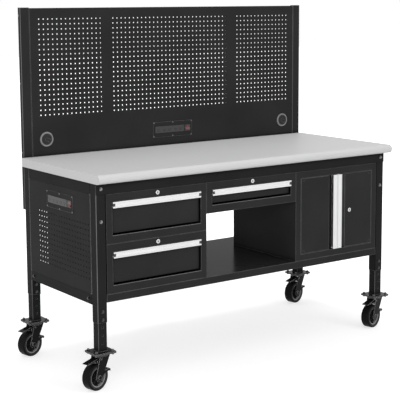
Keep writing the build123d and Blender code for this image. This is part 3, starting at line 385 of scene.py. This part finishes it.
def moulded(name, colour, roughness, grain=480.0, roughened=0.3, lift=1.3, rounding=0.0008, specular=0.5,
            glint=None):
    """Moulded plastic, rubber or gloss paint with a fine skin, and with glints along its edges if asked."""
    material, tree, shader = shaded(name)
    soft = soft_normal(tree, rounding)
    skin = noise(tree, grain, 3.0)
    cloud = spread(tree, noise(tree, MOULDED_CLOUD_SCALE, 3.0), 0.0, 1.0)
    tone = blend(tree, cloud, opaque(colour), opaque(colour, lift))
    if glint:
        tone = blend(tree, edge_mask(tree, soft), tone, opaque(glint))
    tree.links.new(tone, shader.inputs["Base Color"])
    sheen(tree, shader, skin, roughness, MOULDED_SHEEN)
    shader.inputs["Specular IOR Level"].default_value = specular
    relief(tree, shader, skin, MOULDED_RELIEF_DEPTH, roughened, soft)
    return material


looks = {
    "powder_coat": powder_coat("powder_coat"),
    "panel_coat": powder_coat("panel_coat", roughness=0.42, axes="XZ"),
    "board": sheet("board", BOARD_LOW, BOARD_HIGH, grain=190.0, roughness=0.75, roughened=0.6, specular=0.5),
    "laminate": sheet("laminate", LAMINATE_LOW, LAMINATE_HIGH),
    "edge_band": sheet("edge_band", BAND_LOW, BAND_HIGH),
    "pull_aluminium": metal("pull_aluminium", ALUMINIUM, 0.34, BRUSHED_X),
    "slide_steel": metal("slide_steel", ZINC, 0.30, BRUSHED_Y),
    "lock_chrome": metal("lock_chrome", CHROME, 0.14),
    "fastener": metal("fastener", BOLT, 0.28),
    "black_plastic": moulded("black_plastic", PLASTIC, 0.45),
    "outlet_plastic": moulded("outlet_plastic", OUTLET, 0.42),
    "switch_red": moulded("switch_red", RED, 0.22),
    "caster_coat": moulded("caster_coat", CASTER, 0.16, grain=700.0, roughened=0.15, rounding=0.0026,
                           specular=0.05, glint=CASTER_GLINT),
    "caster_tyre": moulded("caster_tyre", RUBBER, 0.34, grain=300.0, roughened=0.4, rounding=0.0020,
                           specular=0.04, glint=RUBBER_GLINT),
}
# painted highlight: pale upright edges along the side panels' border
side_panel_coat = powder_coat("side_panel_coat", roughness=0.42, axes="Y", edge=PANEL_EDGE_HIGHLIGHT)
front_coat = powder_coat("front_coat", edge=COAT)
# painted light: a paler coat for the right door's groove, as if lit
lit_groove_coat = powder_coat("lit_groove_coat", colour=LIT_GROOVE, gap_shaded=False)
leg_coat = powder_coat("leg_coat", colour=SHADED_COAT)
rail_coat = powder_coat("rail_coat", colour=SHADED_COAT, edge=SHADED_COAT)
# painted shade: a near-black coat for faces where shade falls between parts
gap_shade_coat = powder_coat("gap_shade_coat", roughness=0.50, colour=GAP_SHADE, edge=GAP_SHADE)
corner_highlight_coat = powder_coat("corner_highlight_coat", roughness=0.30, colour=CORNER_HIGHLIGHT)
shelf_coat = powder_coat("shelf_coat", roughness=0.20, specular=0.008, unevenness=0.15)
wheel_core = moulded("wheel_core", CORE, 0.26, rounding=0.0020, specular=0.06)
# painted highlight: a pale ring at the rim of each wheel's core
wheel_rim_highlight = moulded("wheel_rim_highlight", RIM_HIGHLIGHT, 0.24, rounding=0.0020, specular=0.06)
tyre_ring_highlight = moulded("tyre_ring_highlight", TYRE_RING_HIGHLIGHT, 0.34, grain=300.0, specular=0.04)
grommet_plastic = moulded("grommet_plastic", GROMMET, 0.30, rounding=0.0025, specular=0.10, glint=RIM_HIGHLIGHT)
# painted highlight: a pale ring for the rim of each grommet
grommet_ring_highlight = moulded("grommet_ring_highlight", GROMMET_RING_HIGHLIGHT, 0.24, rounding=0.0025, specular=0.10, lift=1.5)
label_card = moulded("label_card", CARD, 0.35, grain=900.0, roughened=0.1, lift=1.06)
dark_fastener = metal("dark_fastener", DARK_BOLT, 0.28)
door_aluminium = metal("door_aluminium", ALUMINIUM, 0.34, BRUSHED_Z)
plug_steel = metal("plug_steel", PLUG_STEEL, 0.25)


# Finishes: each node's own material, and the solids and faces of a node that have another, painted light among them
def joints_ending(ending):
    """The joints whose names have an ending, in the record's order."""
    return [joint for joint in frame["record"]["behaviour"]["joints"] if joint["name"].endswith(ending)]


def recoat(material, *names):
    """Give another material to whole nodes."""
    for name in names:
        nodes[name].data.materials[0] = material


def repaint(node, material, chosen):
    """Give another material to the polygons of a node whose centre and normal are chosen."""
    mesh = nodes[node].data
    mesh.materials.append(material)
    index = len(mesh.materials) - 1
    for polygon in mesh.polygons:
        if chosen(polygon.center, polygon.normal):
            polygon.material_index = index


def on_corner(normal):
    """Whether a face is on a rounded upright corner."""
    return min(abs(normal.x), abs(normal.y)) > CORNER_TURN


def from_axle(joint, point):
    """A point's distance from a joint's axis."""
    axis = Vector(joint["axis"]).normalized()
    arm = point - Vector(joint["pos_m"])
    return (arm - arm.dot(axis) * axis).length


def finish_wheel(joint):
    """A wheel's core inside its tyre, and the core's rim, painted paler as a highlight."""
    repaint(joint["child"], wheel_core, lambda point, normal: from_axle(joint, point) < RIM_RADIUS)
    repaint(joint["child"], wheel_rim_highlight, lambda point, normal: RIM_START < from_axle(joint, point) < RIM_RADIUS)


def paint_grommet_highlights():
    """The rounded rim of each grommet's flange, painted paler as a highlight."""
    low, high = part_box("cable_grommets")
    radius = (high.z - low.z) / 2
    middle = Vector((high.x - radius, 0.0, low.z + radius))

    def on_rim(point, normal):
        off = Vector((abs(point.x), 0.0, point.z)) - middle
        return off.length > radius - GROMMET_RIM

    repaint("cable_grommets", grommet_ring_highlight, on_rim)


def finish_pull(node):
    """The strip set in the front of a pull, and the dark plugs at the ends of a drawer's."""
    low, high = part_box(node)
    middle = (low + high) / 2
    length, width = (2, 0) if node.startswith("door") else (0, 2)

    def in_strip(point, normal):
        return abs(point[width] - middle[width]) < STRIP_HALF and high.y - point.y > STRIP_FLOOR

    def in_plug(point, normal):
        from_end = min(point[length] - low[length], high[length] - point[length])
        return in_strip(point, normal) and from_end < PLUG_LENGTH

    repaint(node, label_card, in_strip)
    if node.startswith("drawer"):
        repaint(node, looks["black_plastic"], in_plug)


def finish_bezel(switch, axis):
    """The dark bezel round a switch, along one axis from the strip of sockets."""
    middle = sum(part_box(switch), Vector()) / 2
    repaint("outlet_strips", looks["black_plastic"],
            lambda point, normal: abs(point[axis] - middle[axis]) < BEZEL_HALF)


def paint_groove_light(node):
    """Painted light: the floor and the far wall of the finger groove beside the pull of the right door, paler as if
    lit.
    """
    points = [vertex.co for vertex in nodes[node].data.vertices]
    face = min(point.y for point in points)
    edge = min(point.x for point in points)

    def in_groove(point, normal):
        deep = FINGER_GROOVE_START <= point.y - face <= FINGER_GROOVE_DEPTH
        return deep and point.x - edge <= FINGER_GROOVE_END and min(normal.x, normal.y) < -FACING

    repaint(node, lit_groove_coat, in_groove)


for part in frame["record"]["subparts"]:
    mesh = nodes[part["node"]].data
    mesh.materials.clear()
    mesh.materials.append(looks[part["material_slot"]])
recoat(shelf_coat, "base_shelf")
recoat(grommet_plastic, "cable_grommets")
recoat(front_coat, "drawer_upper", "drawer_lower", "drawer_centre")
recoat(leg_coat, "leg_posts", "leg_extensions")
recoat(rail_coat, "worktop_aprons", "side_rails")
recoat(side_panel_coat, "side_panel_left", "side_panel_right")
recoat(door_aluminium, "door_left_pull", "door_right_pull")
recoat(plug_steel, "drawer_upper_lock", "drawer_lower_lock", "drawer_centre_lock", "door_lock_plug")

# painted highlight: rounded upright corners of legs and uprights paler
for name in ("leg_posts", "leg_extensions", "back_uprights"):
    repaint(name, corner_highlight_coat, lambda point, normal: on_corner(normal))
# painted shade: the inner rounded corners of the legs, beside the cases, near black
repaint("leg_posts", gap_shade_coat, lambda point, normal: on_corner(normal) and point.x * normal.x < 0.0)
# painted shade: the ends of the cases, beside the legs, near black
for name in ("drawer_case_upper", "drawer_case_lower", "door_cabinet"):
    repaint(name, gap_shade_coat, lambda point, normal: abs(point.x) > CASE_END and abs(normal.x) > CORNER_TURN)
rolls = joints_ending("_roll")
swivels = joints_ending("_swivel")
brakes = joints_ending("_brake")
for roll in rolls:
    finish_wheel(roll)
paint_grommet_highlights()
for name in nodes:
    if name.endswith("_pull"):
        finish_pull(name)
finish_bezel("switch_back", 0)
finish_bezel("switch_side", 1)
# painted light: only the right door's groove is paler; the left door's stays dark
paint_groove_light("door_right")
repaint("frame_bolts", dark_fastener, lambda point, normal: point.z < LEG_BOLT_TOP)
repaint("frame_bolts", looks["caster_coat"], lambda point, normal: point.z < FOOT_BOLT_TOP)
repaint("leg_extensions", looks["caster_coat"], lambda point, normal: point.z < FOOT_TOP)


# Detail in mesh: sections carried along paths
def swept(stations, section, closed):
    """Vertices and faces of a section carried along stations, each a place and its two cross directions."""
    vertices = [place + a * out + b * up for place, out, up in stations for a, b in section]
    count = len(section)
    rings = len(stations)
    faces = []
    for ring in range(rings if closed else rings - 1):
        near = ring * count
        far = (ring + 1) % rings * count
        faces += [(near + i, near + (i + 1) % count, far + (i + 1) % count, far + i) for i in range(count)]
    if not closed:
        faces += [range(count), range((rings - 1) * count, rings * count)]
    return vertices, faces


def detail(name, sweeps, body, slot, material):
    """One piece of several sweeps, riding on a body."""
    form = bmesh.new()
    for vertices, faces in sweeps:
        corners = [form.verts.new(vertex) for vertex in vertices]
        for face in faces:
            form.faces.new([corners[i] for i in face]).smooth = True
    bmesh.ops.recalc_face_normals(form, faces=form.faces)
    mesh = bpy.data.meshes.new(name)
    form.to_mesh(mesh)
    form.free()
    mesh.set_sharp_from_angle(angle=radians(SHARP_ANGLE))
    mesh.materials.append(material)
    piece = bpy.data.objects.new(name, mesh)
    bpy.context.scene.collection.objects.link(piece)
    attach(piece, body)


def quarter_turns(steps):
    """Signs of x and y, and angles, round the four corners of a rounded outline."""
    return [(x, y, radians(90 * (quarter + step / steps)))
            for quarter, (x, y) in enumerate(QUARTERS) for step in range(steps + 1)]


def rounded_bar(width, height, corner):
    """The section of a bar with rounded corners, about its middle."""
    return [(x * (width / 2 - corner) + corner * cos(angle), y * (height / 2 - corner) + corner * sin(angle))
            for x, y, angle in quarter_turns(BAR_CORNER_STEPS)]


def round_bead(radius):
    """The section of a round bead."""
    return [(radius * cos(tau * i / BEAD_SIDES), radius * sin(tau * i / BEAD_SIDES)) for i in range(BEAD_SIDES)]


def weld_bead(x, y, z):
    """A rippled bead round the foot of a leg, where the tube stands on its plate."""
    inset = LEG_TUBE / 2 - LEG_TUBE_CORNER
    outline = []
    for i, j, angle in quarter_turns(WELD_CORNER_STEPS):
        out = Vector((cos(angle), sin(angle), 0.0))
        outline.append((Vector((x + i * inset, y + j * inset, z)) + LEG_TUBE_CORNER * out, out))
    stations = []
    for (here, out), (there, after) in zip(outline, outline[1:] + outline[:1]):
        steps = max(1, round((there - here).length / WELD_STEP))
        for step in range(steps):
            share = step / steps
            swell = 1.0 + WELD_RIPPLE * sin(tau * len(stations) / WELD_RIPPLE_STEPS)
            turn = out.lerp(after, share).normalized() * swell
            stations.append((here.lerp(there, share), turn, swell * UP))
    return swept(stations, round_bead(WELD_RADIUS), True)


def spokes(joint, count):
    """A wheel's middle, its axle's direction, and directions out from the axle, evenly round it."""
    axis = Vector(joint["axis"]).normalized()
    ahead = axis.cross(UP)
    outward = [ahead * cos(tau * i / count) + UP * sin(tau * i / count) for i in range(count)]
    return Vector(joint["pos_m"]), axis, outward


def sidewall_rings(joint):
    """A moulded ring on each side of a tyre."""
    middle, axis, outward = spokes(joint, RING_STEPS)
    section = rounded_bar(RING_WIDTH, 2 * RING_HEIGHT, RING_CORNER)
    return [swept([(middle + side * TYRE_HALF * axis + RING_RADIUS * out, out, side * axis) for out in outward],
                  section, True)
            for side in (-1.0, 1.0)]


def web_ribs(joint):
    """Ribs on both sides of a wheel's web, each lowest halfway from the hub to the rim."""
    middle, axis, outward = spokes(joint, RIB_COUNT)
    section = rounded_bar(RIB_WIDTH, RIB_HEIGHT, RIB_CORNER)
    ribs = []
    for side in (-1.0, 1.0):
        for out in outward:
            stations = []
            for step in range(RIB_STEPS + 1):
                share = step / RIB_STEPS
                high = RIB_HEIGHT - RIB_SADDLE * sin(pi * share)
                reach = RIB_START + share * (RIB_END - RIB_START)
                place = middle + side * (WHEEL_WEB_HALF + high / 2) * axis + reach * out
                stations.append((place, out.cross(axis), side * (high / RIB_HEIGHT) * axis))
            ribs.append(swept(stations, section, False))
    return ribs


def brake_web(brake, roll, swivel):
    """The web under a brake pedal, between its pin and its shoe."""
    pivot = Vector(brake["pos_m"])
    across = Vector(brake["axis"]).normalized()
    behind = Vector(roll["pos_m"]) - Vector(swivel["pos_m"])
    behind.z = 0.0
    behind.normalize()
    stations = [(pivot + side * BRAKE_WEB_HALF * across, behind, UP) for side in (-1.0, 1.0)]
    return swept(stations, BRAKE_WEB_SECTION, False)


def drawer_hem(drawer, height):
    """The folded top edge of a drawer's two sides and back."""
    low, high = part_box(drawer)
    middle = (low.x + high.x) / 2
    half = DRAWER_HALF - DRAWER_SHEET / 2
    level = low.z + height - HEM_HEIGHT / 2 + HEM_PROUD
    front = high.y - DRAWER_DEPTH
    back = high.y - DRAWER_SHEET / 2
    stations = [(Vector((middle - half, front, level)), Vector((1.0, 0.0, 0.0)), UP),
                (Vector((middle - half, back, level)), Vector((1.0, -1.0, 0.0)), UP),
                (Vector((middle + half, back, level)), Vector((-1.0, -1.0, 0.0)), UP),
                (Vector((middle + half, front, level)), Vector((-1.0, 0.0, 0.0)), UP)]
    return swept(stations, rounded_bar(HEM_WIDTH, HEM_HEIGHT, HEM_CORNER), False)


def sill_lip(drawer, case):
    """The rolled edge of a case's sheet, along the sill under a drawer."""
    low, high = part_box(drawer)
    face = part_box(case)[0].y
    depth = face + LIP_HEIGHT / 2 - LIP_PROUD
    level = low.z - FRONT_BOTTOM_GAP - LIP_WIDTH / 2
    stations = [(Vector((x, depth, level)), UP, Vector((0.0, 1.0, 0.0)))
                for x in (low.x - FRONT_SIDE_GAP, high.x + FRONT_SIDE_GAP)]
    return swept(stations, rounded_bar(LIP_WIDTH, LIP_HEIGHT, LIP_CORNER), False)


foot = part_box("leg_extensions")[0].z + FOOT_THICK
detail("foot_welds", [weld_bead(*joint["pos_m"][:2], foot) for joint in swivels], "bench", "powder_coat",
       looks["powder_coat"])
for roll in rolls:
    wheel = roll["child"]
    # painted highlight: the moulded rings on the tyres are paler than the rubber
    detail(wheel + "_sidewalls", sidewall_rings(roll), wheel, "caster_tyre", tyre_ring_highlight)
    detail(wheel + "_ribs", web_ribs(roll), wheel, "caster_tyre", wheel_core)
for brake, roll, swivel in zip(brakes, rolls, swivels):
    pedal = brake["child"]
    detail(pedal + "_web", [brake_web(brake, roll, swivel)], pedal, "caster_coat", looks["caster_coat"])
for drawer, height in (("drawer_upper", DRAWER_HEIGHT), ("drawer_lower", DRAWER_HEIGHT),
                       ("drawer_centre", CENTRE_DRAWER_HEIGHT)):
    detail(drawer + "_hem", [drawer_hem(drawer, height)], drawer, "powder_coat", looks["powder_coat"])
    case = drawer.replace("drawer", "drawer_case")
    # painted highlight: the rolled lip along each sill is pale
    detail(case + "_lip", [sill_lip(drawer, case)], "bench", "powder_coat", corner_highlight_coat)


# Stage: a pale floor, soft light from the front, a white surround and the camera
def seen_ray(tree):
    """1 for rays that picture the surround, straight or in metal and glass, and 0 for rays that light the object."""
    path = add(tree, "ShaderNodeLightPath").outputs
    seen = path["Is Camera Ray"]
    for kind in ("Is Glossy Ray", "Is Transmission Ray"):
        seen = maths(tree, "MAXIMUM", seen, path[kind])
    return seen


def lay_floor():
    """A floor that is white where it is seen, keeps the object's shadow, and lights the object as pale grey."""
    bpy.ops.mesh.primitive_plane_add(size=FLOOR_SIZE)
    floor = bpy.context.object
    floor.name = "floor"
    pale, tree, shader = shaded("floor")
    tree.nodes.remove(shader)
    lighting = add(tree, "ShaderNodeBsdfDiffuse", {"Color": opaque(FLOOR_LIGHTING)}).outputs["BSDF"]
    shadow = add(tree, "ShaderNodeBsdfDiffuse", {"Color": opaque(FLOOR_SHADOW)}).outputs["BSDF"]
    place = add(tree, "ShaderNodeTexCoord").outputs["Object"]
    reach = add(tree, "ShaderNodeVectorMath", {0: place}, operation="LENGTH").outputs["Value"]
    level = spread(tree, reach, FLOOR_GLOW, FLOOR_GLOW_FAR, FLOOR_NEAR, FLOOR_FAR)
    glow = add(tree, "ShaderNodeEmission", {"Color": opaque(WHITE), "Strength": level}).outputs["Emission"]
    pictured = add(tree, "ShaderNodeAddShader", {0: shadow, 1: glow}).outputs["Shader"]
    both = add(tree, "ShaderNodeMixShader", {"Fac": seen_ray(tree), 1: lighting, 2: pictured}).outputs["Shader"]
    tree.links.new(both, tree.nodes["Material Output"].inputs["Surface"])
    floor.data.materials.append(pale)


def hang_lamps():
    """Square soft lamps, each turned to its target."""
    for name, place, target, size, power in LAMPS:
        lamp = bpy.data.lights.new(name, "AREA")
        lamp.size = size
        lamp.energy = power
        holder = bpy.data.objects.new(name, lamp)
        holder.location = place
        holder.rotation_euler = (Vector(target) - Vector(place)).to_track_quat("-Z", "Y").to_euler()
        bpy.context.scene.collection.objects.link(holder)


def set_surround():
    """A surround that is white where it is seen, and lights the object less."""
    world = bpy.data.worlds.new("surround")
    world.use_nodes = True
    tree = world.node_tree
    back = tree.nodes["Background"]
    tree.links.new(spread(tree, seen_ray(tree), WORLD_LIGHT, 1.0, 0.0, 1.0), back.inputs["Strength"])
    back.inputs["Color"].default_value = opaque(WHITE)
    bpy.context.scene.world = world


def set_camera():
    """The camera at the photograph's angle."""
    heading = radians(CAMERA_HEADING)
    tilt = radians(CAMERA_TILT)
    roll = radians(CAMERA_ROLL)
    ahead = Vector((sin(heading) * cos(tilt), cos(heading) * cos(tilt), -sin(tilt)))
    level = Vector((cos(heading), -sin(heading), 0.0))
    above = level.cross(ahead)
    right = level * cos(roll) + above * sin(roll)
    upward = above * cos(roll) - level * sin(roll)
    camera = bpy.data.objects.new("camera", bpy.data.cameras.new("camera"))
    camera.data.lens = CAMERA_LENS
    camera.data.sensor_width = CAMERA_SENSOR
    camera.data.shift_y = CAMERA_SHIFT
    turn = Matrix((right, upward, -ahead)).transposed()
    camera.matrix_world = Matrix.Translation(CAMERA_PLACE) @ turn.to_4x4()
    bpy.context.scene.collection.objects.link(camera)
    bpy.context.scene.camera = camera


lay_floor()
hang_lamps()
set_surround()
set_camera()
bpy.context.scene.view_settings.view_transform = "Standard"
